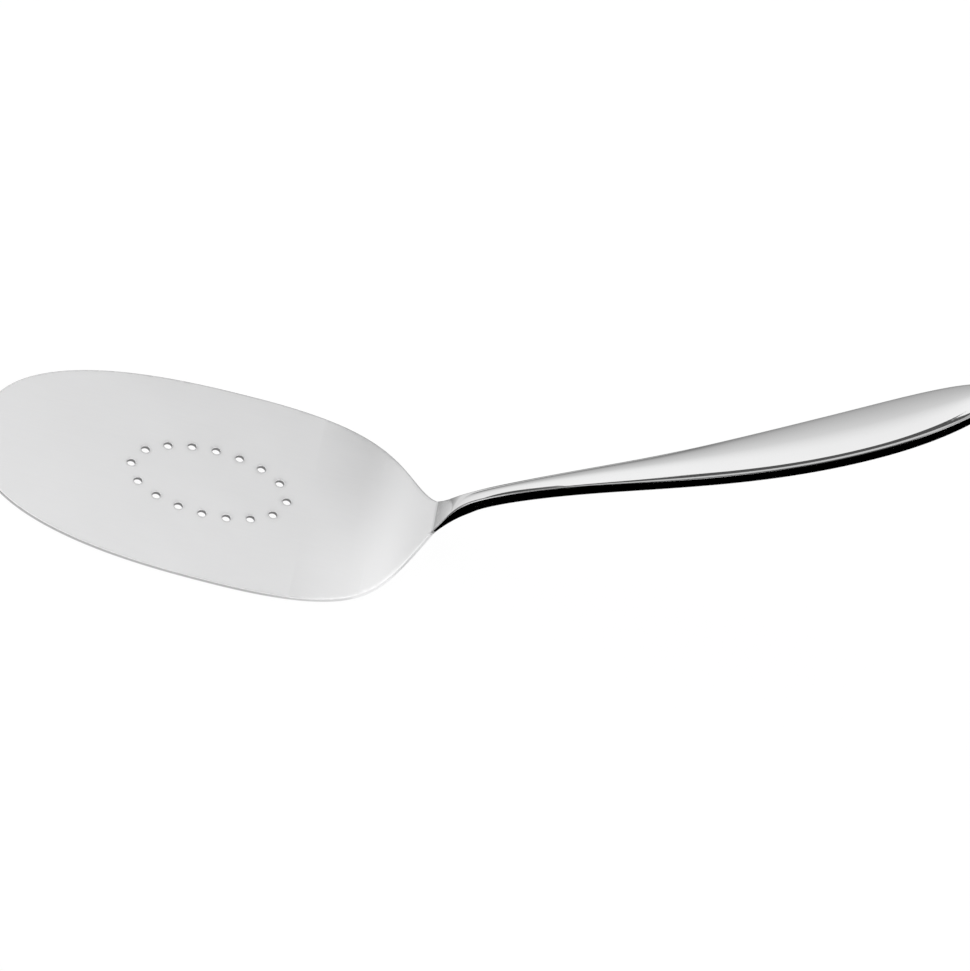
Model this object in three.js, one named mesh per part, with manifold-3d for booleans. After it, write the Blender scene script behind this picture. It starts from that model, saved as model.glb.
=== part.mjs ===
// Fish server: a pierced sheet-steel blade, butt-welded at its neck to a forged handle.
//
// Millimetres, +Z up, +X from the blade towards the handle, mirror-symmetric about Y = 0.
// The origin lies on the flat underside of the blade, at the centre of the ring of drain holes.

import * as THREE from 'three';
import { mergeVertices } from 'three/addons/utils/BufferGeometryUtils.js';
import Module from 'manifold-3d';

const { degToRad, lerp, smoothstep } = THREE.MathUtils;

// Blade, seen from above
const BLADE_WIDTH = 74.8;
const TIP_REACH = 69.5; // origin to the tip
const TIP_FULLNESS = 2.5; // exponent of the tip's superellipse: 2 is an ellipse, more is squarer
const WIDEST_AT = 8; // origin to the widest place
const NECK_AT = 67; // origin to the welded joint
const NECK_WIDTH = 12.4;
const HEEL_SHOULDER = 47.5; // how far the heel's outline keeps its width past the widest place
const HEEL_TAPER = 20; // how far the heel's outline keeps its direction in front of the neck
const HEEL_TAPER_ANGLE = degToRad(56); // outline to the long axis at the neck

// Blade, seen from the side
const BLADE_THICKNESS = 1.25;
const EDGE_BREAK = 0.3; // chamfer that takes the burr off the sheet
const HEEL_RISE = 9.85; // lift of the sheet from the flat of the blade to the neck
const NECK_ANGLE = degToRad(55); // slope of the sheet at the neck
const HEEL_SUDDENNESS = 4; // exponent of the rise: higher keeps the blade flat for longer
const HEEL_SPREAD = 0.1; // sideways fall of the heel against its fall along the blade

// Drain holes, evenly spaced round an ellipse
const HOLE_COUNT = 16;
const HOLE_DIAMETER = 2.5;
const RING_LENGTH = 47.4; // across the centres of the holes
const RING_WIDTH = 25.2;

// Weld seam, ground flush with both pieces
const WELD_WIDTH = 0.8;

// Handle, seen from the side: a guide line, measured from the middle of the welded joint, that
// runs just under the top of the side walls
const STEM_REACH = 46.2; // to the place where the handle is least steep
const STEM_CLIMB = 38.3;
const STEM_ANGLE = degToRad(31.8);
const HANDLE_REACH = 139; // to the end of the handle
const HANDLE_CLIMB = 110.8;
const END_ANGLE = degToRad(46);
const NECK_PULL = 13.3; // lengths over which the guide line keeps its direction
const STEM_PULL_DOWN = 55;
const STEM_PULL_UP = 45;
const END_PULL = 42;

// Handle, seen from above and in section
const FOOT_LENGTH = 17; // from the joint to the narrowest place
const STEM_WIDTH = 4.4;
const HANDLE_WIDTH = 19.6;
const END_LENGTH = 40; // from the widest place to the end
const END_FULLNESS = 2.2; // exponent of the end's superellipse
const HANDLE_THICKNESS = 4.2; // height of the side walls, rounded edges included
const THICKENING_LENGTH = 14; // from the joint to the full thickness
const CROWNING_LENGTH = 30; // from the joint to the full crown
const CROWN = 1; // how far the top stands above the side walls where the handle is widest
const SHOULDER_RADIUS = 2.3; // rounding between the top and the side walls
const STEM_RADIUS = 0.5; // the same rounding on the stem, where the edges are crisp
const CRISP_UNTIL = 35; // distances from the joint between which the edges turn soft
const SOFT_FROM = 90;
const BACK_RADIUS = 0.5; // rounding between the side walls and the back
const HOLLOW_WEB = 1.1; // metal left between the ridge and the relief in the back
const HOLLOW_RIM = 1.1; // land left on each side of the relief
const HOLLOW_FULLNESS = 6; // exponent of the relief's section: higher is squarer
const HOLLOW_FROM = 2; // width of the relief at which it starts to sink in
const HOLLOW_FULL = 6; // width of the relief at which it has its full depth

// Fineness of the facets
const TIP_STEPS = 16;
const HEEL_STEPS = 22;
const ACROSS_STEPS = 12;
const HOLE_SIDES = 12;
const STEM_STEPS = 30;
const END_STEPS = 12;
const FACE_STEPS = 4;
const SHOULDER_STEPS = 4;
const BACK_STEPS = 2;
const HOLLOW_STEPS = 6;
const RING_DIVISIONS = 720; // for measuring along the ring of holes
const DRILL_OVERRUN = 1.5; // how far a drill runs past both faces of the sheet
const MERGE_DISTANCE = 1e-5; // points closer than this are one vertex

const neckSlope = Math.tan(NECK_ANGLE);
const heelRun = (HEEL_SUDDENNESS * HEEL_RISE) / neckSlope;
const sheetHalf = BLADE_THICKNESS / 2;
const neckHalf = NECK_WIDTH / 2;
const handleHalf = HANDLE_WIDTH / 2;

// Directions into the material at the ends of the half outlines
const FROM_TIP = new THREE.Vector2(1, 0);
const FROM_SIDE = new THREE.Vector2(0, -1);
const FROM_END = new THREE.Vector2(-1, 0);

const wasm = await Module();
wasm.setup();

// Closed solid through a row of rings with equally many points. A ring that is folded flat closes
// the solid by itself, so only open ends get a cap.
function loft(rings, capFirst, capLast) {
  const count = rings[0].length;
  const points = rings.flat();
  const triangles = [];
  for (let ring = 0; ring + 1 < rings.length; ring++) {
    for (let i = 0; i < count; i++) {
      const a = ring * count + i;
      const b = ring * count + ((i + 1) % count);
      triangles.push([a, a + count, b], [b, a + count, b + count]);
    }
  }
  const cap = (first, turn) => {
    const middle = points.length;
    const ring = points.slice(first, first + count);
    const centre = ring.reduce((sum, p) => sum.add(p), new THREE.Vector3());
    points.push(centre.divideScalar(count));
    for (let i = 0; i < count; i++) {
      const a = first + i;
      const b = first + ((i + 1) % count);
      triangles.push(turn ? [middle, b, a] : [middle, a, b]);
    }
  };
  if (capFirst) cap(0, false);
  if (capLast) cap((rings.length - 1) * count, true);
  return weldVertices(points, triangles);
}

function weldVertices(points, triangles) {
  const loose = new THREE.BufferGeometry().setFromPoints(points);
  loose.setIndex(triangles.flat());
  const merged = mergeVertices(loose, MERGE_DISTANCE);
  const index = merged.getIndex().array;
  const kept = [];
  for (let i = 0; i < index.length; i += 3) {
    const [a, b, c] = index.slice(i, i + 3);
    if (a !== b && b !== c && c !== a) kept.push(a, b, c);
  }
  merged.setIndex(kept);
  return merged;
}

function toSolid(geometry) {
  const bare = geometry.clone();
  bare.deleteAttribute('normal');
  bare.deleteAttribute('uv');
  const merged = mergeVertices(bare, MERGE_DISTANCE);
  const vertProperties = new Float32Array(merged.getAttribute('position').array);
  const triVerts = new Uint32Array(merged.getIndex().array);
  return new wasm.Manifold(new wasm.Mesh({ numProp: 3, vertProperties, triVerts }));
}

function toGeometry(solid) {
  const mesh = solid.getMesh();
  const geometry = new THREE.BufferGeometry();
  geometry.setAttribute('position', new THREE.BufferAttribute(mesh.vertProperties, 3));
  geometry.setIndex(new THREE.BufferAttribute(mesh.triVerts, 1));
  return geometry;
}

function makeMesh(name, geometry, color, roughness) {
  geometry.computeVertexNormals();
  const material = new THREE.MeshStandardMaterial({ color, roughness, metalness: 1 });
  const mesh = new THREE.Mesh(geometry, material);
  mesh.name = name;
  return mesh;
}

// Middle of the sheet at a place on the blade's plan, with the sheet's normal there: flat, then a
// ramp that climbs towards the neck and falls away to both sides of it.
function sheetAt(x, y) {
  const ahead = NECK_AT - x;
  const aside = HEEL_SPREAD * Math.max(Math.abs(y) - neckHalf, 0);
  const distance = Math.hypot(ahead, aside);
  const remaining = Math.max(1 - distance / heelRun, 0);
  const lift = HEEL_RISE * remaining ** HEEL_SUDDENNESS;
  const slope = neckSlope * remaining ** (HEEL_SUDDENNESS - 1);
  const along = distance > 0 ? ahead / distance : 1;
  const across = distance > 0 ? (HEEL_SPREAD * Math.sign(y) * aside) / distance : 0;
  return {
    point: new THREE.Vector3(x, y, sheetHalf + lift),
    normal: new THREE.Vector3(-slope * along, slope * across, 1).normalize(),
  };
}

function sheetPoint({ x, y }, offset) {
  const { point, normal } = sheetAt(x, y);
  return point.addScaledVector(normal, offset);
}

// Half of the blade's plan outline, from the tip to the neck.
function bladeOutline() {
  const tipRun = WIDEST_AT + TIP_REACH;
  const outline = [];
  for (let i = 0; i < TIP_STEPS; i++) {
    const angle = (i / TIP_STEPS) * (Math.PI / 2);
    const x = WIDEST_AT - tipRun * Math.cos(angle) ** (2 / TIP_FULLNESS);
    const y = (BLADE_WIDTH / 2) * Math.sin(angle) ** (2 / TIP_FULLNESS);
    outline.push(new THREE.Vector2(x, y));
  }
  const heel = new THREE.CubicBezierCurve(
    new THREE.Vector2(WIDEST_AT, BLADE_WIDTH / 2),
    new THREE.Vector2(WIDEST_AT + HEEL_SHOULDER, BLADE_WIDTH / 2),
    new THREE.Vector2(
      NECK_AT - HEEL_TAPER * Math.cos(HEEL_TAPER_ANGLE),
      neckHalf + HEEL_TAPER * Math.sin(HEEL_TAPER_ANGLE),
    ),
    new THREE.Vector2(NECK_AT, neckHalf),
  );
  return outline.concat(heel.getPoints(HEEL_STEPS));
}

// Directions into the material at the points of a half outline, with those at its ends given.
function inwardAlong(outline, first, last) {
  return outline.map((point, i) => {
    if (i === 0) return first;
    if (i === outline.length - 1) return last;
    const run = outline[i + 1].clone().sub(outline[i - 1]).normalize();
    return new THREE.Vector2(run.y, -run.x);
  });
}

// One closed ring of the sheet: the top face from right to left, the left edge, the underside
// back to the right, and the right edge.
function sheetRing(edge, face) {
  const wall = sheetHalf - EDGE_BREAK;
  const top = [];
  const bottom = [];
  for (let i = 0; i <= ACROSS_STEPS; i++) {
    const place = { x: face.x, y: face.y * ((2 * i) / ACROSS_STEPS - 1) };
    top.push(sheetPoint(place, sheetHalf));
    bottom.unshift(sheetPoint(place, -sheetHalf));
  }
  const leftEdge = { x: edge.x, y: edge.y };
  const rightEdge = { x: edge.x, y: -edge.y };
  return [
    ...top,
    sheetPoint(leftEdge, wall),
    sheetPoint(leftEdge, -wall),
    ...bottom,
    sheetPoint(rightEdge, -wall),
    sheetPoint(rightEdge, wall),
  ];
}

// Centres of the drain holes, equally far apart along the ellipse.
function holeCentres() {
  const ring = new THREE.EllipseCurve(0, 0, RING_LENGTH / 2, RING_WIDTH / 2);
  ring.arcLengthDivisions = RING_DIVISIONS;
  return ring.getSpacedPoints(HOLE_COUNT).slice(0, HOLE_COUNT);
}

function drillAt(centre) {
  const radius = HOLE_DIAMETER / 2;
  const length = BLADE_THICKNESS + 2 * DRILL_OVERRUN;
  const drill = new THREE.CylinderGeometry(radius, radius, length, HOLE_SIDES);
  drill.rotateX(Math.PI / 2);
  drill.translate(centre.x, centre.y, sheetHalf);
  return toSolid(drill);
}

function makeBlade() {
  const outline = bladeOutline();
  const inward = inwardAlong(outline, FROM_TIP, FROM_SIDE);
  const rings = outline.map((edge, i) =>
    sheetRing(edge, edge.clone().addScaledVector(inward[i], EDGE_BREAK)),
  );
  let solid = toSolid(loft(rings, false, true));
  for (const centre of holeCentres()) {
    solid = solid.subtract(drillAt(centre));
  }
  return toGeometry(solid);
}

// Guide line of the handle in the plane of symmetry: steep at the neck, easing off along the
// stem and turning up again towards the end.
function handleSpine() {
  const ray = (angle, length) =>
    new THREE.Vector3(length * Math.cos(angle), 0, length * Math.sin(angle));
  const joint = new THREE.Vector3(NECK_AT, 0, sheetHalf + HEEL_RISE);
  const stem = joint.clone().add(new THREE.Vector3(STEM_REACH, 0, STEM_CLIMB));
  const end = joint.clone().add(new THREE.Vector3(HANDLE_REACH, 0, HANDLE_CLIMB));
  const spine = new THREE.CurvePath();
  spine.add(
    new THREE.CubicBezierCurve3(
      joint,
      joint.clone().add(ray(NECK_ANGLE, NECK_PULL)),
      stem.clone().sub(ray(STEM_ANGLE, STEM_PULL_DOWN)),
      stem,
    ),
  );
  spine.add(
    new THREE.CubicBezierCurve3(
      stem,
      stem.clone().add(ray(STEM_ANGLE, STEM_PULL_UP)),
      end.clone().sub(ray(END_ANGLE, END_PULL)),
      end,
    ),
  );
  return spine;
}

const spine = handleSpine();
const spineLength = spine.getLength();
const widestFrom = spineLength - END_LENGTH;

// Half-width of the handle: the foot closes in to the stem, the stem swells to the widest place.
function stemHalfWidth(distance) {
  if (distance < FOOT_LENGTH) {
    return STEM_WIDTH / 2 + (neckHalf - STEM_WIDTH / 2) * (1 - distance / FOOT_LENGTH) ** 2;
  }
  const swell = (distance - FOOT_LENGTH) / (widestFrom - FOOT_LENGTH);
  const share = (1 - Math.cos(Math.PI * swell)) / 2;
  return lerp(STEM_WIDTH / 2, handleHalf, share);
}

// Left half of a section of the handle, from the ridge of the crown round to the middle of the
// back. Its edges are rolled square to the outline, so each point has a place along the handle.
// The top of the side walls carries on from the blade's top face; the handle thickens below it.
function halfSection({ x: distance, y: halfWidth }, inward) {
  const grown = smoothstep(distance, 0, THICKENING_LENGTH);
  const thickness = lerp(BLADE_THICKNESS, HANDLE_THICKNESS, grown);
  const bottom = sheetHalf - thickness;
  const backEdge = lerp(EDGE_BREAK, BACK_RADIUS, grown);
  const fullHalf = distance > widestFrom ? handleHalf : halfWidth;
  const softened = smoothstep(distance, CRISP_UNTIL, SOFT_FROM);
  const shoulder = lerp(EDGE_BREAK, lerp(STEM_RADIUS, SHOULDER_RADIUS, softened), grown);
  const crowned = smoothstep(distance, 0, CROWNING_LENGTH);
  const fullCrown = crowned * CROWN * Math.sqrt(fullHalf / handleHalf);
  const crown = (fullCrown * halfWidth) / fullHalf;
  const lean = Math.atan2(2 * crown, Math.max(halfWidth - shoulder, shoulder));
  const section = [];

  const add = (drawnIn, share, up) => {
    const across = share * Math.max(halfWidth + drawnIn * inward.y, 0);
    section.push({ along: distance + drawnIn * inward.x, across, up });
  };
  const roll = (radius, middle, from, to, steps) => {
    for (let i = 0; i <= steps; i++) {
      const tilt = lerp(from, to, i / steps);
      add(radius * (1 - Math.sin(tilt)), 1, middle + radius * Math.cos(tilt));
    }
  };

  const brim = shoulder * (1 - Math.sin(lean));
  const brimHeight = sheetHalf - shoulder * (1 - Math.cos(lean));
  const ridge = (Math.tan(lean) * Math.max(halfWidth + brim * inward.y, 0)) / 2;
  for (let i = 0; i < FACE_STEPS; i++) {
    const share = i / FACE_STEPS;
    add(brim, share, brimHeight + ridge * (1 - share ** 2));
  }
  roll(shoulder, sheetHalf - shoulder, lean, Math.PI / 2, SHOULDER_STEPS);
  roll(backEdge, bottom + backEdge, Math.PI / 2, Math.PI, BACK_STEPS);

  const hollowHalf = Math.max(halfWidth - HOLLOW_RIM, 0);
  const sunk = distance > FOOT_LENGTH ? smoothstep(2 * hollowHalf, HOLLOW_FROM, HOLLOW_FULL) : 0;
  const depth = sunk * (brimHeight + ridge - bottom - HOLLOW_WEB);
  const along = distance + backEdge * inward.x;
  for (let i = HOLLOW_STEPS; i >= 0; i--) {
    const share = Math.sin((i / HOLLOW_STEPS) * (Math.PI / 2));
    const sink = depth * (1 - share ** HOLLOW_FULLNESS) ** 2;
    section.push({ along, across: hollowHalf * share, up: bottom + sink });
  }
  return section;
}

// A section set square to the guide line, as a closed ring.
function handleRing(edge, inward) {
  const left = halfSection(edge, inward);
  const right = left.slice(1, -1).map((place) => ({ ...place, across: -place.across }));
  return [...left, ...right.reverse()].map(({ along, across, up }) => {
    const centre = spine.getPoint(along / spineLength);
    const run = spine.getTangent(along / spineLength);
    return new THREE.Vector3(centre.x - up * run.z, across, centre.z + up * run.x);
  });
}

// Left edge of the handle from the weld to the end, as distances along it and half-widths.
function handleOutline() {
  const outline = [];
  for (let i = 0; i < STEM_STEPS; i++) {
    const distance = lerp(WELD_WIDTH, widestFrom, i / STEM_STEPS);
    outline.push(new THREE.Vector2(distance, stemHalfWidth(distance)));
  }
  for (let i = 0; i <= END_STEPS; i++) {
    const angle = (i / END_STEPS) * (Math.PI / 2);
    const along = Math.sin(angle) ** (2 / END_FULLNESS);
    const share = i === END_STEPS ? 0 : Math.cos(angle) ** (2 / END_FULLNESS);
    const distance = widestFrom + END_LENGTH * along;
    outline.push(new THREE.Vector2(distance, handleHalf * share));
  }
  return outline;
}

function makeWeld() {
  const rings = [0, WELD_WIDTH].map((distance) =>
    handleRing(new THREE.Vector2(distance, stemHalfWidth(distance)), FROM_SIDE),
  );
  return loft(rings, true, true);
}

function makeHandle() {
  const outline = handleOutline();
  const inward = inwardAlong(outline, FROM_SIDE, FROM_END);
  const rings = outline.map((edge, i) => handleRing(edge, inward[i]));
  return loft(rings, true, false);
}

const fishServer = new THREE.Group();
fishServer.add(makeMesh('blade', makeBlade(), 0xcfd0d2, 0.35));
fishServer.add(makeMesh('neck_weld', makeWeld(), 0xc4c5c7, 0.25));
fishServer.add(makeMesh('handle', makeHandle(), 0xdedfe1, 0.08));

export default fishServer;
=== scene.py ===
import math
from collections import namedtuple

import bmesh
import bpy
import numpy as np
from mathutils import Matrix, Vector
from mathutils.geometry import delaunay_2d_cdt


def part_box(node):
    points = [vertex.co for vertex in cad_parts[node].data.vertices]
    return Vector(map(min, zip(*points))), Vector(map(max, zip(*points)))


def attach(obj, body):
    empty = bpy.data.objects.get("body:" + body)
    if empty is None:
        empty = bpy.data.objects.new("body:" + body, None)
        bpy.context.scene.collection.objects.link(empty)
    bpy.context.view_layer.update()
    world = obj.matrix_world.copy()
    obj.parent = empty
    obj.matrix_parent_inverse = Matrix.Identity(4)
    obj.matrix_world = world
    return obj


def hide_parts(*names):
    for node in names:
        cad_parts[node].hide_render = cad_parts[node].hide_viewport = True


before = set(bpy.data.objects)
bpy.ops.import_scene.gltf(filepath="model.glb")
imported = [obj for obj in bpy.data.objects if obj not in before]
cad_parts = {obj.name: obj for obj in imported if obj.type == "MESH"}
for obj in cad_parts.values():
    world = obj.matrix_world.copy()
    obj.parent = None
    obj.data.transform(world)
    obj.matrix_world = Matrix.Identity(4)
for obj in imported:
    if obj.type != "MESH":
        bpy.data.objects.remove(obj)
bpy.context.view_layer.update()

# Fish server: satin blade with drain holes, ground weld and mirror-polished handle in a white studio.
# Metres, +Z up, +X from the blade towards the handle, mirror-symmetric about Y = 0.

# Blade, seen from above
blade_low, blade_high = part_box("blade")
BLADE_HALF = blade_high.y
TIP_REACH = -blade_low.x
TIP_FULLNESS = 2.5
WIDEST_AT = 0.008
NECK_AT = 0.067
NECK_HALF = 0.0062
HEEL_SHOULDER = 0.0475
HEEL_TAPER = 0.020
HEEL_TAPER_ANGLE = math.radians(56)

# Blade, seen from the side
BLADE_THICKNESS = 0.00125
EDGE_BREAK = 0.0003
HEEL_RISE = 0.00985
NECK_ANGLE = math.radians(55)
HEEL_SUDDENNESS = 4
HEEL_SPREAD = 0.1

# Drain holes, evenly spaced round an ellipse
HOLE_COUNT = 16
HOLE_RADIUS = 0.00125
HOLE_LIP = 0.0002
RING_LENGTH = 0.0474
RING_WIDTH = 0.0252

# Weld seam
WELD_WIDTH = 0.0008

# Handle, seen from the side; its reach is a hair short, so that the smooth end keeps inside the box
STEM_REACH = 0.0462
STEM_CLIMB = 0.0383
STEM_ANGLE = math.radians(31.8)
HANDLE_REACH = 0.13899
HANDLE_CLIMB = 0.1108
END_ANGLE = math.radians(46)
NECK_PULL = 0.0133
STEM_PULL_DOWN = 0.055
STEM_PULL_UP = 0.045
END_PULL = 0.042

# Handle, seen from above and in section
FOOT_LENGTH = 0.017
STEM_HALF = 0.0022
HANDLE_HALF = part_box("handle")[1].y
END_LENGTH = 0.040
END_FULLNESS = 2.2
HANDLE_THICKNESS = 0.0042
THICKENING_LENGTH = 0.014
CROWNING_LENGTH = 0.030
CROWN = 0.001
SHOULDER_RADIUS = 0.0023
STEM_RADIUS = 0.0005
CRISP_UNTIL = 0.035
SOFT_FROM = 0.090
BACK_RADIUS = 0.0005
HOLLOW_WEB = 0.0011
HOLLOW_RIM = 0.0011
HOLLOW_FULLNESS = 6
HOLLOW_FROM = 0.002
HOLLOW_FULL = 0.006

# Finish: where the satin turns coarser, and is painted paler as a highlight, towards the neck, how far it
# runs out on to the handle, rougher there and painted darker as shade, and the heel's faint crown as metres
# of fall per square metre across, with the places where it grows in
COARSE_FROM = 0.045
POLISHED_FROM = 0.009
HEEL_CROWN = 3.2
HEEL_CROWN_FROM = (0.030, 0.050)

# Scratches: the strengths of noise between which a line, and a patch with lines in it, comes up
SCRATCH_EDGE = (0.66, 0.72)
SCRATCH_PATCHES = (0.5, 0.62)

# Metals: colour and roughness run between two values with the tone of the grain; relief is in metres
TONE_SPAN = (0.3, 0.7)
SATIN_COLOURS = ((0.795, 0.795, 0.798), (0.885, 0.885, 0.888))
# Painted highlight: the paler colour that the satin takes on towards the neck
SATIN_NECK_HIGHLIGHT = (0.96, 0.96, 0.962)
SATIN_ROUGHNESS = (0.47, 0.57)
SATIN_COARSENING = 0.25
SATIN_BURNISHING = -0.27
SATIN_RELIEF = 0.000004
WELD_COLOURS = ((0.78, 0.78, 0.782), (0.86, 0.86, 0.862))
WELD_ROUGHNESS = (0.3, 0.4)
WELD_RELIEF = 0.000003
POLISHED_COLOURS = ((0.855, 0.855, 0.857), (0.885, 0.885, 0.887))
POLISHED_ROUGHNESS = (0.035, 0.075)
POLISHED_RELIEF = 0.00001
# Painted shade: the darker colour of the handle's faces next to the weld
RUN_OUT_SHADE_COLOUR = (0.54, 0.54, 0.542)
RUN_OUT_ROUGHNESS = 0.25
RUBBED_SHARE = 0.15
MARK_ROUGHNESS = 0.08

# Fineness of the meshes
GRID_STEP = 0.0012
TIP_STEPS = 90
HEEL_STEPS = 110
HOLE_SIDES = 40
ROUND_STEPS = 10
WALL_STEPS = 3
STEM_STEPS = 200
END_STEPS = 70
WELD_STEPS = 4
FACE_COLUMNS = 30
CURVE_SAMPLES = 1500
CARD_STEPS = 96
SAME_POINT = 1e-7

# Camera
TARGET = Vector((0.07788, 0.0, 0.02966))
AZIMUTH = math.radians(-6.42)
ELEVATION = math.radians(47.64)
ROLL = math.radians(19.04)
DISTANCE = 1.58
LENS_MM = 200.3

# Studio: a white room with a graded tent close behind the object and dark cards in front of it.
# Azimuths are in degrees: 0 is in front, along -Y, and 90 on the right, along +X.
WHITE = (1, 1, 1, 1)
ROOM_LIGHT = 0.85
FLOOR_COLOUR = (0.9, 0.9, 0.9, 1)
FLOOR_WHITE = 1.03
FLOOR_SHADOW = 0.1
FLOOR_REACH = 8.0
TENT_RADIUS = 0.40
TENT_SIDES = (110, 266)
TENT_TOP = 0.39
TENT_CORNER = (-0.25, -0.15)
TENT_FOOT_LEVELS = (0.8, 0.35)
SKIRT_SIDES = (110, 218)
SKIRT_INSET = 0.005
SKIRT_TOP = 0.09
SKIRT_LEVELS = (0.15, 0.5)
PANEL_AT = 0.38
PANEL_SIDES = (-0.17, 0.45)
PANEL_HEIGHTS = (0.2, 1.1)
PANEL_LEVELS = (0.38, 2.4)
PANEL_BEND = 1.8
SOFT_LIGHT_TURN = math.radians(55)
SOFT_LIGHT_HALF = 0.7
SOFT_LIGHT_ENDS = (1.2, -0.4)
SOFT_LIGHT_HEIGHTS = (1.29, 1.63)
SOFT_LIGHT_LEVELS = (2.0, 0.6)
SOFT_LIGHT_BEND = 0.7

# Cards that stand round the object: name, azimuths, heights and level
SIDE_RADIUS = 2.0
SIDE_CARDS = [
    ("dark_side_card", (267, 306), (0.0, 1.55), 0.09),
    ("dark_upper_card", (306, 345), (0.85, 1.55), 0.09),
    ("dark_lower_card", (306, 345), (0.0, 0.3), 0.09),
    ("pale_side_card", (306, 345), (0.3, 0.85), 0.62),
    ("grey_front_card", (345, 375), (0.1, 1.5), 0.45),
]

# Cards that lie on the floor: outlines, and the places and levels that a graded one runs between
CARD_LIFT = 0.0002
BACK_CARDS_MEET = 0.045
BACK_CARDS_END = 0.42
BLACK_FRONT = [(0.077, -0.018), (0.074, -0.06), (-1.5, -3.0), (3.0, -3.0), (3.0, -0.018)]
DIM_BACK = [
    (BACK_CARDS_MEET, 0.018),
    (0.05, 0.018),
    (0.058, 0.010),
    (0.48, 0.010),
    (0.48, BACK_CARDS_END),
    (BACK_CARDS_MEET, BACK_CARDS_END),
]
DIM_PLACES = (0.012, 0.40)
DIM_LEVELS = (0.0, 0.6)
DIM_BEND = 0.8
PALE_BACK = [
    (-0.32, 0.03),
    (BACK_CARDS_MEET, 0.03),
    (BACK_CARDS_MEET, BACK_CARDS_END),
    (-0.32, BACK_CARDS_END),
]
PALE_PLACES = (0.005, BACK_CARDS_MEET)
PALE_LEVELS = (0.75, 0.3)
# Painted shade: a grey card on the floor round the blade's rim, seen only in reflections, stands in for the
# floor's contact shadow there
RIM_SHADE_OUTLINE = [(-0.30, -0.12), (0.07, -0.12), (0.07, -0.03), (-0.03, -0.03), (-0.055, 0.0), (-0.30, 0.0)]
RIM_SHADE_PLACES = (0.02, 0.05)
RIM_SHADE_LEVELS = (0.55, 0.85)
HOLE_SHADE_HALF = (0.027, 0.0155)
HOLE_SHADE_LEVEL = 0.22

sheet_half = BLADE_THICKNESS / 2
neck_slope = math.tan(NECK_ANGLE)
heel_run = HEEL_SUDDENNESS * HEEL_RISE / neck_slope


def unit(vectors):
    """Vectors along the last axis, each brought to length 1."""
    return vectors / np.linalg.norm(vectors, axis=-1, keepdims=True)


def mix(low, high, share):
    return low + (high - low) * share


def smoothstep(value, low, high):
    share = np.clip((value - low) / (high - low), 0, 1)
    return share * share * (3 - 2 * share)


def bezier(points, t):
    """Points of a cubic Bezier curve."""
    a, b, c, d = (np.asarray(p, float) for p in points)
    t = np.asarray(t, float)[..., None]
    return a * (1 - t) ** 3 + 3 * b * t * (1 - t) ** 2 + 3 * c * t * t * (1 - t) + d * t ** 3


def bezier_run(points, t):
    """Direction of travel along a cubic Bezier curve."""
    a, b, c, d = (np.asarray(p, float) for p in points)
    t = np.asarray(t, float)[..., None]
    return 3 * ((b - a) * (1 - t) ** 2 + 2 * (c - b) * t * (1 - t) + (d - c) * t * t)


def travelled_along(points):
    """Distance travelled at each point of a path."""
    steps = np.linalg.norm(np.diff(points, axis=0), axis=1)
    return np.concatenate([[0], np.cumsum(steps)])


def inward_along(outline, first, last):
    """Directions into the material along a half outline, with those at its ends given."""
    run = unit(np.gradient(outline, axis=0))
    inward = np.stack([run[:, 1], -run[:, 0]], -1)
    inward[0] = first
    inward[-1] = last
    return inward


class Surface:
    """Rows of points with their normals, places on the plan, wear and the faces between them."""

    def __init__(self):
        self.points = []
        self.normals = []
        self.plan = []
        self.wear = []
        self.faces = []
        self.count = 0

    def add(self, points, normals, plan, wear):
        """Adds a row and gives the number of its first point."""
        first = self.count
        self.points.append(points)
        self.normals.append(unit(normals))
        self.plan.append(plan)
        self.wear.append(np.broadcast_to(np.asarray(wear, float), len(points)))
        self.count += len(points)
        return first

    def bridge(self, starts, length, closed):
        """Faces between neighbouring rows of equal length."""
        for upper, lower in zip(starts, starts[1:]):
            for i in range(length if closed else length - 1):
                after = (i + 1) % length
                self.faces.append([upper + i, upper + after, lower + after, lower + i])

    def welded(self):
        """Numbers of the points to keep, and the faces once points that fall together are joined."""
        keys = np.round(np.vstack(self.points) / SAME_POINT).astype(np.int64)
        _, first, place = np.unique(keys, axis=0, return_index=True, return_inverse=True)
        place = place.ravel()
        faces = []
        for face in self.faces:
            ring = [int(place[i]) for i in face]
            ring = [v for k, v in enumerate(ring) if v != ring[k - 1]]
            if len(ring) > 2:
                faces.append(ring)
        return first, faces

    def to_piece(self, name, material):
        """Mesh object with smooth normals. Plan is (along, across, height); wear is 1 on worn edges."""
        first, faces = self.welded()
        mesh = bpy.data.meshes.new(name)
        mesh.from_pydata(np.vstack(self.points)[first].tolist(), [], faces, shade_flat=False)
        work = bmesh.new()
        work.from_mesh(mesh)
        bmesh.ops.recalc_face_normals(work, faces=work.faces)
        work.to_mesh(mesh)
        work.free()
        mesh.normals_split_custom_set_from_vertices(np.vstack(self.normals)[first].tolist())
        plan = mesh.attributes.new("plan", "FLOAT_VECTOR", "POINT")
        plan.data.foreach_set("vector", np.vstack(self.plan)[first].ravel())
        wear = mesh.attributes.new("wear", "FLOAT", "POINT")
        wear.data.foreach_set("value", np.concatenate(self.wear)[first])
        mesh.materials.append(material)
        piece = bpy.data.objects.new(name, mesh)
        bpy.context.scene.collection.objects.link(piece)
        return piece


# Blade

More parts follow.
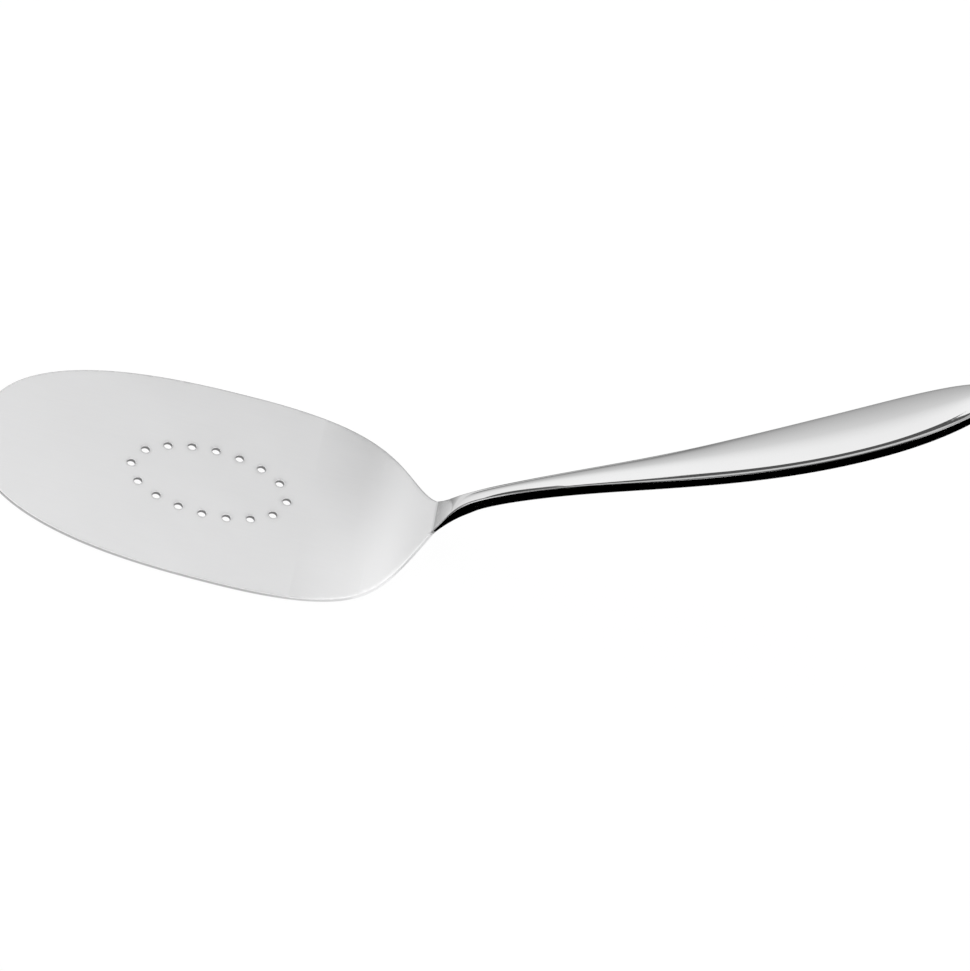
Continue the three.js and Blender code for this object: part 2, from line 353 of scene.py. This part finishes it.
def sheet_at(plan):
    """Middle of the sheet and its normal over places (x, y): flat, then a ramp that climbs to the neck."""
    x, y = plan[..., 0], plan[..., 1]
    ahead = NECK_AT - x
    aside = HEEL_SPREAD * np.maximum(np.abs(y) - NECK_HALF, 0)
    distance = np.hypot(ahead, aside)
    remaining = np.maximum(1 - distance / heel_run, 0)
    lift = HEEL_RISE * remaining ** HEEL_SUDDENNESS
    slope = neck_slope * remaining ** (HEEL_SUDDENNESS - 1)
    away = np.maximum(distance, SAME_POINT)
    along = np.where(distance > SAME_POINT, ahead / away, 1)
    across = HEEL_SPREAD * np.sign(y) * aside / away
    middle = np.stack([x, y, sheet_half + lift], -1)
    return middle, unit(np.stack([-slope * along, slope * across, np.ones_like(x)], -1))


def half_outline():
    """Left half of the blade's plan, from the tip to the neck."""
    angle = np.linspace(0, math.pi / 2, TIP_STEPS, endpoint=False)
    tip_x = WIDEST_AT - (WIDEST_AT + TIP_REACH) * np.cos(angle) ** (2 / TIP_FULLNESS)
    tip_y = BLADE_HALF * np.sin(angle) ** (2 / TIP_FULLNESS)
    taper_along = HEEL_TAPER * math.cos(HEEL_TAPER_ANGLE)
    taper_across = HEEL_TAPER * math.sin(HEEL_TAPER_ANGLE)
    heel_points = [
        (WIDEST_AT, BLADE_HALF),
        (WIDEST_AT + HEEL_SHOULDER, BLADE_HALF),
        (NECK_AT - taper_along, NECK_HALF + taper_across),
        (NECK_AT, NECK_HALF),
    ]
    heel = bezier(heel_points, np.linspace(0, 1, HEEL_STEPS))
    return np.vstack([np.stack([tip_x, tip_y], -1), heel])


def edge_profile(radius):
    """Rows of a rounded edge from the top face to the underside: (drawn in, height, tilt of the normal)."""
    rows = []
    for angle in np.linspace(0, math.pi / 2, ROUND_STEPS + 1):
        rows.append((radius * (1 - math.sin(angle)), sheet_half - radius + radius * math.cos(angle), angle))
    for share in np.linspace(0, 1, WALL_STEPS + 1)[1:-1]:
        rows.append((0, (sheet_half - radius) * (1 - 2 * share), math.pi / 2))
    for angle in np.linspace(math.pi / 2, math.pi, ROUND_STEPS + 1):
        rows.append((radius * (1 - math.sin(angle)), radius - sheet_half + radius * math.cos(angle), angle))
    return rows


def edge_row(line, inward, drawn_in, height, tilt):
    """One row of points along a rounded edge of the sheet, with normals and places on the plan."""
    place = line + drawn_in * inward
    middle, normal = sheet_at(place)
    flat = np.concatenate([-inward, np.zeros((len(line), 1))], -1)
    outward = unit(flat - np.sum(flat * normal, -1, keepdims=True) * normal)
    points = middle + height * normal
    return points, math.cos(tilt) * normal + math.sin(tilt) * outward, with_height(place, height)


def with_height(plan, height):
    return np.concatenate([plan, np.full((len(plan), 1), height)], -1)


def hole_centres():
    """Centres of the drain holes, equally far apart along the ellipse."""
    angle = np.linspace(0, 2 * math.pi, CURVE_SAMPLES)
    ring = np.stack([RING_LENGTH / 2 * np.cos(angle), RING_WIDTH / 2 * np.sin(angle)], -1)
    travelled = travelled_along(ring)
    wanted = np.arange(HOLE_COUNT) / HOLE_COUNT * travelled[-1]
    return np.stack([np.interp(wanted, travelled, ring[:, axis]) for axis in (0, 1)], -1)


def hole_circle(centre):
    """Points round a hole and the directions from its centre into the sheet."""
    angle = np.arange(HOLE_SIDES) / HOLE_SIDES * 2 * math.pi
    spoke = np.stack([np.cos(angle), np.sin(angle)], -1)
    return centre + HOLE_RADIUS * spoke, spoke


def nearest_to(border, places):
    """Distance from each place to the nearest point of a border."""
    return np.array([np.min(np.hypot(*(border - place).T)) for place in places])


def face_grid(half, loops):
    """Places spread over the blade's plan, clear of the edge loops."""
    rows = []
    row_step = GRID_STEP * math.sqrt(3) / 2
    reach = int(BLADE_HALF / row_step)
    for row in range(-reach, reach + 1):
        x = np.arange(-TIP_REACH, NECK_AT, GRID_STEP) + (row % 2) * GRID_STEP / 2
        rows.append(np.stack([x, np.full_like(x, row * row_step)], -1))
    grid = np.vstack(rows)
    grid = grid[np.abs(grid[:, 1]) < np.interp(grid[:, 0], half[:, 0], half[:, 1])]
    return grid[nearest_to(np.vstack(loops), grid) > GRID_STEP / 2]


def face_triangles(places, loops):
    """Triangles over the blade's plan, bounded by its outline and open at the holes."""
    edges = []
    first = 0
    for loop in loops:
        last = first + len(loop)
        edges += [(i, i + 1 if i + 1 < last else first) for i in range(first, last)]
        first = last
    found = delaunay_2d_cdt([Vector(p) for p in places], edges, [], 1, SAME_POINT)
    origin = np.array([ids[0] for ids in found[3]])
    triangles = origin[np.array(found[2])]
    middle = places[triangles].mean(1)
    for centre in hole_centres():
        outside = np.hypot(*(middle - centre).T) > HOLE_RADIUS
        triangles = triangles[outside]
        middle = middle[outside]
    return triangles


def blade_edges():
    """Edges of the sheet as (line, directions into the sheet, rounding, closed): the rim, then the holes."""
    left = half_outline()
    inward = inward_along(left, (1, 0), (0, -1))
    mirror = np.array([1, -1])
    rim = np.vstack([left[::-1], left[1:] * mirror])
    into = np.vstack([inward[::-1], inward[1:] * mirror])
    edges = [(rim, into, EDGE_BREAK, False)]
    for centre in hole_centres():
        circle, spoke = hole_circle(centre)
        edges.append((circle, spoke, HOLE_LIP, True))
    return edges


def make_blade(material):
    """Pierced sheet with rounded edges and hole lips, closed by a flat cut at the neck."""
    edges = blade_edges()
    loops = [line + radius * inward for line, inward, radius, _ in edges]
    clear_of = [edges[0][0]] + loops[1:]
    places = np.vstack(loops + [face_grid(half_outline(), clear_of)])
    triangles = face_triangles(places, loops)
    worn = np.exp(-nearest_to(np.vstack(loops), places) / EDGE_BREAK)
    middle, normal = sheet_at(places)
    surface = Surface()
    for side in (sheet_half, -sheet_half):
        towards = math.copysign(1, side) * normal
        start = surface.add(middle + side * normal, towards, with_height(places, side), worn)
        surface.faces += (start + triangles).tolist()
    for line, inward, radius, closed in edges:
        rows = edge_profile(radius)
        starts = [surface.add(*edge_row(line, inward, *row), 1) for row in rows]
        surface.bridge(starts, len(line), closed)
        if not closed:
            far_ends = [start + len(line) - 1 for start in reversed(starts)]
            surface.faces.append(starts + far_ends)
    return surface.to_piece("blade_satin", material)


# Handle and weld

def ray(angle, length):
    return np.array([length * math.cos(angle), 0, length * math.sin(angle)])


def spine_curves():
    """Guide line of the handle: steep at the neck, easing off along the stem, turning up to the end."""
    joint = np.array([NECK_AT, 0, sheet_half + HEEL_RISE])
    stem = joint + np.array([STEM_REACH, 0, STEM_CLIMB])
    end = joint + np.array([HANDLE_REACH, 0, HANDLE_CLIMB])
    return [
        [joint, joint + ray(NECK_ANGLE, NECK_PULL), stem - ray(STEM_ANGLE, STEM_PULL_DOWN), stem],
        [stem, stem + ray(STEM_ANGLE, STEM_PULL_UP), end - ray(END_ANGLE, END_PULL), end],
    ]


lower_curve, upper_curve = spine_curves()
curve_share = np.linspace(0, 1, CURVE_SAMPLES)
lower_travel = travelled_along(bezier(lower_curve, curve_share))
upper_travel = travelled_along(bezier(upper_curve, curve_share))
stem_distance = lower_travel[-1]
widest_from = stem_distance + upper_travel[-1] - END_LENGTH


def spine_at(distance):
    """Guide line of the handle with its direction of travel and the direction out of its top."""
    lower_t = np.interp(distance, lower_travel, curve_share)
    upper_t = np.interp(distance - stem_distance, upper_travel, curve_share)
    on_lower = (distance < stem_distance)[..., None]
    centre = np.where(on_lower, bezier(lower_curve, lower_t), bezier(upper_curve, upper_t))
    run = unit(np.where(on_lower, bezier_run(lower_curve, lower_t), bezier_run(upper_curve, upper_t)))
    up = np.stack([-run[..., 2], np.zeros_like(distance), run[..., 0]], -1)
    return centre, run, up


def half_width(distance):
    """Half-width of the handle: the foot closes in to the stem, the stem swells, the end rounds off."""
    foot = STEM_HALF + (NECK_HALF - STEM_HALF) * np.maximum(1 - distance / FOOT_LENGTH, 0) ** 2
    swell = np.clip((distance - FOOT_LENGTH) / (widest_from - FOOT_LENGTH), 0, 1)
    grown = foot + (HANDLE_HALF - STEM_HALF) * (1 - np.cos(math.pi * swell)) / 2
    past = np.clip((distance - widest_from) / END_LENGTH, 0, 1)
    return grown * (1 - past ** END_FULLNESS) ** (1 / END_FULLNESS)


def handle_line():
    """Left edge of the handle from the weld to the end, as distances along it and half-widths."""
    distance = np.linspace(WELD_WIDTH, widest_from, STEM_STEPS, endpoint=False)
    angle = np.linspace(0, math.pi / 2, END_STEPS)
    closing = widest_from + END_LENGTH * np.sin(angle) ** (2 / END_FULLNESS)
    distance = np.concatenate([distance, closing])
    width = half_width(distance)
    width[-1] = 0
    return np.stack([distance, width], -1)


# One line of points along the handle: places along it, across it and above its guide line, the parts of
# the normal sideways and upwards, and whether the line lies on a rolled edge
Row = namedtuple("Row", "along across height sideways upward on_edge")


def drawn_in(line, inward, depth):
    """Places along and across the handle, a depth inside its edge."""
    place = line + depth[:, None] * inward
    return place[:, 0], np.maximum(place[:, 1], 0)


def rolled_rows(line, inward, radius, middle, first, last):
    """Rounded edge rolled square to the outline, from one tilt of the normal to another."""
    rows = []
    for step in range(ROUND_STEPS + 1):
        tilt = mix(first, last, step / ROUND_STEPS)
        along, across = drawn_in(line, inward, radius * (1 - np.sin(tilt)))
        rows.append(Row(along, across, middle + radius * np.cos(tilt), np.sin(tilt), np.cos(tilt), True))
    return rows


def crown_rows(along, brim, brim_height, ridge):
    """Crowned top face from its ridge out to the brim where the edge starts to roll."""
    rows = []
    for step in range(FACE_COLUMNS):
        share = step / FACE_COLUMNS
        slope = 2 * ridge * share / np.maximum(brim, SAME_POINT)
        height = brim_height + ridge * (1 - share ** 2)
        rows.append(Row(along, brim * share, height, slope, np.ones_like(slope), False))
    return rows


def hollow_rows(along, reach, floor, depth):
    """Back of the handle from the edge of its relief to the middle."""
    rows = []
    for step in range(FACE_COLUMNS, -1, -1):
        share = math.sin(step / FACE_COLUMNS * math.pi / 2)
        left_over = 1 - share ** HOLLOW_FULLNESS
        steepness = 2 * HOLLOW_FULLNESS * share ** (HOLLOW_FULLNESS - 1) * left_over
        slope = -depth * steepness / np.maximum(reach, SAME_POINT)
        height = floor + depth * left_over ** 2
        rows.append(Row(along, reach * share, height, slope, -np.ones_like(slope), False))
    return rows


def section_rows(line, inward):
    """Left half of every section, from the ridge of the crown round to the middle of the back.

    The top of the side walls carries on from the blade's top face; the handle thickens below it.
    """
    distance, width = line.T
    grown = smoothstep(distance, 0, THICKENING_LENGTH)
    bottom = sheet_half - mix(BLADE_THICKNESS, HANDLE_THICKNESS, grown)
    back_edge = mix(EDGE_BREAK, BACK_RADIUS, grown)
    full_half = np.where(distance > widest_from, HANDLE_HALF, width)
    softened = smoothstep(distance, CRISP_UNTIL, SOFT_FROM)
    shoulder = mix(EDGE_BREAK, mix(STEM_RADIUS, SHOULDER_RADIUS, softened), grown)
    crowned = smoothstep(distance, 0, CROWNING_LENGTH)
    crown = crowned * CROWN * np.sqrt(full_half / HANDLE_HALF) * width / full_half
    lean = np.arctan2(2 * crown, np.maximum(width - shoulder, shoulder))

    brim_along, brim = drawn_in(line, inward, shoulder * (1 - np.sin(lean)))
    brim_height = sheet_half - shoulder * (1 - np.cos(lean))
    ridge = np.tan(lean) * brim / 2
    upright = np.full_like(lean, math.pi / 2)

    reach = np.maximum(width - HOLLOW_RIM, 0)
    sunk = np.where(distance > FOOT_LENGTH, smoothstep(2 * reach, HOLLOW_FROM, HOLLOW_FULL), 0)
    depth = sunk * (brim_height + ridge - bottom - HOLLOW_WEB)
    back_along = distance + back_edge * inward[:, 0]
    return (
        crown_rows(brim_along, brim, brim_height, ridge)
        + rolled_rows(line, inward, shoulder, sheet_half - shoulder, lean, upright)
        + rolled_rows(line, inward, back_edge, bottom + back_edge, upright, 2 * upright)
        + hollow_rows(back_along, reach, bottom, depth)
    )


def make_lofted(name, line, inward, close_end, material):
    """Solid through the sections along a stretch of the handle."""
    rows = section_rows(line, inward)
    columns = [(row, 1) for row in rows] + [(row, -1) for row in reversed(rows[1:-1])]
    surface = Surface()
    starts = []
    for row, side in columns:
        centre, run, up = spine_at(row.along)
        left = np.array([0, side, 0])
        place = centre + row.across[:, None] * left + row.height[:, None] * up
        rolled = -inward[:, 0:1] * run - inward[:, 1:2] * left
        sideways = rolled if row.on_edge else left
        normal = row.sideways[:, None] * sideways + row.upward[:, None] * up
        travel = np.gradient(place, axis=0)
        length = np.maximum(np.sum(travel * travel, -1, keepdims=True), SAME_POINT ** 2)
        normal = normal - np.sum(normal * travel, -1, keepdims=True) / length * travel
        plan = np.stack([row.along, side * row.across, row.height], -1)
        starts.append(surface.add(place, normal, plan, float(row.on_edge)))
    surface.bridge(starts + starts[:1], len(line), False)
    surface.faces.append(starts)
    if close_end:
        surface.faces.append([start + len(line) - 1 for start in starts])
    return surface.to_piece(name, material)


def make_weld(material):
    distance = np.linspace(0, WELD_WIDTH, WELD_STEPS + 1)
    line = np.stack([distance, half_width(distance)], -1)
    straight_in = np.tile([0.0, -1.0], (len(line), 1))
    return make_lofted("neck_weld_ground", line, straight_in, True, material)


def make_handle(material):
    line = handle_line()
    inward = inward_along(line, (0, -1), (-1, 0))
    return make_lofted("handle_polished", line, inward, False, material)


# Materials

def add_node(tree, kind, inputs=None, **settings):
    """New node with its settings, and its inputs set to values or linked to sockets."""
    node = tree.nodes.new(kind)
    for name, value in settings.items():
        setattr(node, name, value)
    for socket, value in (inputs or {}).items():
        if isinstance(value, bpy.types.NodeSocket):
            tree.links.new(value, node.inputs[socket])
        else:
            node.inputs[socket].default_value = value
    return node


def new_material(name):
    material = bpy.data.materials.new(name)
    material.use_nodes = True
    material.node_tree.nodes.clear()
    return material, material.node_tree


def attribute(tree, name, output):
    return add_node(tree, "ShaderNodeAttribute", attribute_name=name).outputs[output]


def place_on_plan(tree, axis):
    """Place on the piece's plan: X along it, Y across it."""
    plan = attribute(tree, "plan", "Vector")
    return add_node(tree, "ShaderNodeSeparateXYZ", {0: plan}).outputs[axis]


def laid_noise(tree, along, across, turn=0.0, detail=2.0):
    """Noise laid over the piece's plan, with so many grains per metre along and across it."""
    plan = attribute(tree, "plan", "Vector")
    turned = add_node(tree, "ShaderNodeMapping", {"Vector": plan, "Rotation": (0, 0, turn)})
    stretch = {"Vector": turned.outputs["Vector"], "Scale": (along, across, across)}
    scaled = add_node(tree, "ShaderNodeMapping", stretch)
    grain = {"Vector": scaled.outputs["Vector"], "Scale": 1.0, "Detail": detail}
    return add_node(tree, "ShaderNodeTexNoise", grain).outputs["Fac"]


def map_range(tree, value, low, high, new_low, new_high):
    inputs = {"Value": value, "From Min": low, "From Max": high, "To Min": new_low, "To Max": new_high}
    return add_node(tree, "ShaderNodeMapRange", inputs).outputs["Result"]


def math_node(tree, operation, first, second):
    return add_node(tree, "ShaderNodeMath", {0: first, 1: second}, operation=operation).outputs[0]


def scaled_sum(tree, first, second, second_share):
    """First plus a share of second."""
    return math_node(tree, "ADD", first, math_node(tree, "MULTIPLY", second, second_share))


def scratches(tree, turn, along, across):
    """Sparse thin scratches in one direction, 1 in a scratch and 0 beside it."""
    lines = laid_noise(tree, along, across, turn, detail=0.0)
    places = laid_noise(tree, along=90, across=90, turn=turn + 1, detail=1.0)
    sharp = map_range(tree, lines, *SCRATCH_EDGE, 0, 1)
    sparse = map_range(tree, places, *SCRATCH_PATCHES, 0, 1)
    return math_node(tree, "MULTIPLY", sharp, sparse)


def mixed_colour(tree, share, low, high):
    """Mix of two colours, each three numbers or a socket."""
    low, high = (c if isinstance(c, bpy.types.NodeSocket) else (*c, 1) for c in (low, high))
    inputs = {0: share, 6: low, 7: high}
    return add_node(tree, "ShaderNodeMix", inputs, data_type="RGBA").outputs[2]


def heel_crown(tree):
    """Normal with the heel's faint crown across its width, too shallow to show in the outline."""
    across = place_on_plan(tree, "Y")
    on_heel = map_range(tree, place_on_plan(tree, "X"), *HEEL_CROWN_FROM, 0, -HEEL_CROWN)
    height = math_node(tree, "MULTIPLY", on_heel, math_node(tree, "MULTIPLY", across, across))
    relief = {"Height": height, "Distance": 1.0, "Strength": 1.0}
    return add_node(tree, "ShaderNodeBump", relief).outputs["Normal"]


def metal_output(tree, colour, roughness, height, bump_distance, bump_strength, normal=None):
    relief = {"Height": height, "Distance": bump_distance, "Strength": bump_strength}
    if normal:
        relief["Normal"] = normal
    bump = add_node(tree, "ShaderNodeBump", relief).outputs["Normal"]
    finish = {"Base Color": colour, "Metallic": 1.0, "Roughness": roughness, "Normal": bump}
    surface = add_node(tree, "ShaderNodeBsdfPrincipled", finish)
    add_node(tree, "ShaderNodeOutputMaterial", {"Surface": surface.outputs["BSDF"]})


def satin_steel():
    """Fine lengthwise satin, coarser at the neck and painted paler there as a highlight, with faint clouds,
    light scratches and burnished edges.
    """
    material, tree = new_material("satin_steel")
    grain = laid_noise(tree, along=120, across=9000, detail=3.0)
    clouds = laid_noise(tree, along=35, across=60, turn=0.4)
    scuffs = math_node(
        tree,
        "MAXIMUM",
        scratches(tree, turn=0.5, along=60, across=5000),
        scratches(tree, turn=-0.9, along=45, across=4200),
    )
    wear = attribute(tree, "wear", "Fac")
    tone = scaled_sum(tree, math_node(tree, "MULTIPLY", grain, 0.6), clouds, 0.4)
    colour = mixed_colour(tree, tone, *SATIN_COLOURS)
    rough = map_range(tree, tone, *TONE_SPAN, *SATIN_ROUGHNESS)
    rough = scaled_sum(tree, rough, wear, SATIN_BURNISHING)
    towards_neck = map_range(tree, place_on_plan(tree, "X"), COARSE_FROM, NECK_AT, 0, 1)
    rough = scaled_sum(tree, rough, towards_neck, SATIN_COARSENING)
    # Painted highlight: the satin's colour turns paler towards the neck; the added roughness there is the
    # coarser finish
    colour = mixed_colour(tree, towards_neck, colour, SATIN_NECK_HIGHLIGHT)
    height = scaled_sum(tree, grain, scuffs, -0.3)
    metal_output(tree, colour, rough, height, SATIN_RELIEF, bump_strength=0.35, normal=heel_crown(tree))
    return material


def ground_weld():
    """Cross-ground and buffed seam."""
    material, tree = new_material("ground_weld")
    grain = laid_noise(tree, along=9000, across=300, detail=3.0)
    clouds = laid_noise(tree, along=900, across=300, turn=0.2)
    tone = scaled_sum(tree, math_node(tree, "MULTIPLY", grain, 0.5), clouds, 0.5)
    colour = mixed_colour(tree, tone, *WELD_COLOURS)
    rough = map_range(tree, tone, *TONE_SPAN, *WELD_ROUGHNESS)
    metal_output(tree, colour, rough, grain, WELD_RELIEF, bump_strength=0.3)
    return material


def polished_steel():
    """Mirror polish that comes out of the satin at the foot, rougher there and painted darker as shade, with
    waves, hairlines and rubbed edges.
    """
    material, tree = new_material("polished_steel")
    haze = laid_noise(tree, along=60, across=160, turn=0.3, detail=3.0)
    hairlines = math_node(
        tree,
        "MAXIMUM",
        scratches(tree, turn=0.06, along=40, across=6000),
        scratches(tree, turn=-0.7, along=50, across=5200),
    )
    waves = laid_noise(tree, along=55, across=110, turn=0.1, detail=1.0)
    wear = attribute(tree, "wear", "Fac")
    colour = mixed_colour(tree, haze, *POLISHED_COLOURS)
    rough = map_range(tree, haze, *TONE_SPAN, *POLISHED_ROUGHNESS)
    marks = math_node(tree, "MAXIMUM", hairlines, math_node(tree, "MULTIPLY", wear, RUBBED_SHARE))
    rough = scaled_sum(tree, rough, marks, MARK_ROUGHNESS)
    near_weld = map_range(tree, place_on_plan(tree, "X"), WELD_WIDTH, POLISHED_FROM, 1, 0)
    ground_and_shade = math_node(tree, "MULTIPLY", near_weld, math_node(tree, "SUBTRACT", 1.0, wear))
    rough = scaled_sum(tree, rough, ground_and_shade, RUN_OUT_ROUGHNESS)
    # Painted shade: next to the weld the faces darken in colour while the rolled edges do not; the roughness
    # added there is the ground finish
    colour = mixed_colour(tree, ground_and_shade, colour, RUN_OUT_SHADE_COLOUR)
    height = scaled_sum(tree, waves, hairlines, -0.04)
    metal_output(tree, colour, rough, height, POLISHED_RELIEF, bump_strength=0.25)
    return material


# Studio

GLOSS_ONLY = {"visible_camera": False, "visible_diffuse": False, "visible_shadow": False}


def stage_mesh(name, points, faces, material, **visibility):
    mesh = bpy.data.meshes.new(name)
    mesh.from_pydata(points, [], faces)
    mesh.materials.append(material)
    thing = bpy.data.objects.new(name, mesh)
    bpy.context.scene.collection.objects.link(thing)
    for flag, value in visibility.items():
        setattr(thing, flag, value)


def seen_by_eye_or_mirror(tree):
    """1 for rays from the camera, a reflection or a clear body, 0 for rays that light a surface."""
    path = add_node(tree, "ShaderNodeLightPath")
    mirrored = math_node(tree, "MAXIMUM", path.outputs["Is Glossy Ray"], path.outputs["Is Transmission Ray"])
    return math_node(tree, "MAXIMUM", path.outputs["Is Camera Ray"], mirrored)


def white_world():
    world = bpy.data.worlds.new("white_room")
    world.use_nodes = True
    tree = world.node_tree
    tree.nodes.clear()
    strength = map_range(tree, seen_by_eye_or_mirror(tree), 0, 1, ROOM_LIGHT, 1)
    room = add_node(tree, "ShaderNodeBackground", {"Color": WHITE, "Strength": strength})
    add_node(tree, "ShaderNodeOutputWorld", {"Surface": room.outputs["Background"]})
    bpy.context.scene.world = world


def make_floor():
    """Pale floor that reads as white and keeps a faint shadow."""
    material, tree = new_material("pale_floor")
    pale = add_node(tree, "ShaderNodeBsdfDiffuse", {"Color": FLOOR_COLOUR})
    white = add_node(tree, "ShaderNodeEmission", {"Color": WHITE, "Strength": FLOOR_WHITE})
    share = math_node(tree, "MULTIPLY", seen_by_eye_or_mirror(tree), 1 - FLOOR_SHADOW)
    layers = {0: share, 1: pale.outputs["BSDF"], 2: white.outputs["Emission"]}
    mixed = add_node(tree, "ShaderNodeMixShader", layers)
    add_node(tree, "ShaderNodeOutputMaterial", {"Surface": mixed.outputs["Shader"]})
    r = FLOOR_REACH
    stage_mesh("floor", [(-r, -r, 0), (r, -r, 0), (r, r, 0), (-r, r, 0)], [(0, 1, 2, 3)], material)


def glow_output(tree, level):
    glow = add_node(tree, "ShaderNodeEmission", {"Color": WHITE, "Strength": level})
    add_node(tree, "ShaderNodeOutputMaterial", {"Surface": glow.outputs["Emission"]})


def place_in_room(tree, axis):
    position = add_node(tree, "ShaderNodeNewGeometry").outputs["Position"]
    return add_node(tree, "ShaderNodeSeparateXYZ", {0: position}).outputs[axis]


def card_material(name, level):
    """Card of one brightness."""
    material, tree = new_material(name)
    glow_output(tree, level)
    return material


def graded_material(name, axis, places, levels, bend=1.0):
    """Card whose brightness runs from one level to another between two places on an axis."""
    material, tree = new_material(name)
    share = map_range(tree, place_in_room(tree, axis), *places, 0, 1)
    glow_output(tree, map_range(tree, math_node(tree, "POWER", share, bend), 0, 1, *levels))
    return material


def curved_card(name, azimuths, heights, radius, material):
    """Upright card bent round the object."""
    points, faces = [], []
    for angle in np.radians(np.linspace(*azimuths, CARD_STEPS + 1)):
        x = TARGET.x + radius * math.sin(angle)
        y = -radius * math.cos(angle)
        points += [(x, y, heights[0]), (x, y, heights[1])]
    for a in range(0, 2 * CARD_STEPS, 2):
        faces.append((a, a + 2, a + 3, a + 1))
    stage_mesh(name, points, faces, material, **GLOSS_ONLY)


def floor_card(name, outline, material, layer=1):
    """Card lying on the floor; a higher layer covers a lower one."""
    points = [(x, y, layer * CARD_LIFT) for x, y in outline]
    stage_mesh(name, points, [range(len(points))], material, **GLOSS_ONLY)


def tent_paper():
    """Paper that runs from grey at the table to white above, paler on the left than behind the object."""
    material, tree = new_material("tent_paper")
    foot = map_range(tree, place_in_room(tree, "X"), *TENT_CORNER, *TENT_FOOT_LEVELS)
    glow_output(tree, map_range(tree, place_in_room(tree, "Z"), 0, TENT_TOP, foot, 1))
    return material


def make_tent():
    """Bent paper round the back of the object, its dark skirt, and a panel that brightens upwards."""
    curved_card("tent", TENT_SIDES, (0.0, TENT_TOP), TENT_RADIUS, tent_paper())
    skirt = graded_material("tent_skirt", "Z", (0.0, SKIRT_TOP), SKIRT_LEVELS)
    curved_card("tent_skirt", SKIRT_SIDES, (0.0, SKIRT_TOP), TENT_RADIUS - SKIRT_INSET, skirt)
    panel = graded_material("back_panel", "Z", PANEL_HEIGHTS, PANEL_LEVELS, PANEL_BEND)
    low, high = PANEL_HEIGHTS
    left, right = PANEL_SIDES
    corners = [(x, PANEL_AT, z) for x, z in ((left, low), (right, low), (right, high), (left, high))]
    stage_mesh("back_panel", corners, [(0, 1, 2, 3)], panel, **GLOSS_ONLY)


def make_side_cards():
    """Dark cards that line the handle's near shoulder, a pale one between them and a grey one in front."""
    for name, azimuths, heights, level in SIDE_CARDS:
        curved_card(name, azimuths, heights, SIDE_RADIUS, card_material(name, level))


def make_floor_cards():
    """Black card in front of the handle, dim one behind it, and as painted shade of the floor's contact
    shadow a grey one at the blade's rim and a dark one under it.
    """
    floor_card("black_front_card", BLACK_FRONT, card_material("black_card", 0.0))
    dim = graded_material("dim_card", "Y", DIM_PLACES, DIM_LEVELS, DIM_BEND)
    floor_card("dim_back_card", DIM_BACK, dim)
    pale = graded_material("pale_card", "X", PALE_PLACES, PALE_LEVELS)
    floor_card("pale_back_card", PALE_BACK, pale)
    # Painted shade: the floor's contact shadow round the blade's rim, as a grey card seen only in
    # reflections
    grey = graded_material("rim_card", "X", RIM_SHADE_PLACES, RIM_SHADE_LEVELS)
    floor_card("rim_shade_card", RIM_SHADE_OUTLINE, grey, layer=2)
    x, y = HOLE_SHADE_HALF
    shade = card_material("hole_shade", HOLE_SHADE_LEVEL)
    floor_card("hole_shade_card", [(-x, -y), (x, -y), (x, y), (-x, y)], shade)


def make_soft_light():
    """Large soft panel on the object's left, which falls off until it is overhead."""
    glow = graded_material("soft_light", "Z", SOFT_LIGHT_HEIGHTS, SOFT_LIGHT_LEVELS, SOFT_LIGHT_BEND)
    centre = Matrix.Translation((TARGET.x, TARGET.y, 0))
    turned = centre @ Matrix.Rotation(SOFT_LIGHT_TURN, 4, "Z")
    half = SOFT_LIGHT_HALF
    low, high = zip(SOFT_LIGHT_ENDS, SOFT_LIGHT_HEIGHTS)
    corners = [turned @ Vector(c) for c in ((-half, *low), (half, *low), (half, *high), (-half, *high))]
    stage_mesh("soft_light", corners, [(0, 1, 2, 3)], glow, visible_camera=False)


def make_studio():
    white_world()
    make_floor()
    make_tent()
    make_side_cards()
    make_floor_cards()
    make_soft_light()


def make_camera():
    """Camera at the photograph's viewing angle, with the picture turned by the roll."""
    flat = math.cos(ELEVATION)
    back = Vector((math.sin(AZIMUTH) * flat, -math.cos(AZIMUTH) * flat, math.sin(ELEVATION)))
    level = Vector((math.cos(AZIMUTH), math.sin(AZIMUTH), 0))
    right = math.cos(ROLL) * level + math.sin(ROLL) * back.cross(level)
    turn = Matrix((right, back.cross(right), back)).transposed().to_4x4()
    data = bpy.data.cameras.new("camera")
    data.sensor_fit = "HORIZONTAL"
    data.lens = LENS_MM
    camera = bpy.data.objects.new("camera", data)
    camera.matrix_world = Matrix.Translation(TARGET + back * DISTANCE) @ turn
    bpy.context.scene.collection.objects.link(camera)
    bpy.context.scene.camera = camera


def dress(piece, node):
    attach(piece, "root")
    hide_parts(node)


bpy.context.scene.view_settings.view_transform = "Standard"
make_camera()
make_studio()
dress(make_blade(satin_steel()), "blade")
dress(make_weld(ground_weld()), "neck_weld")
dress(make_handle(polished_steel()), "handle")
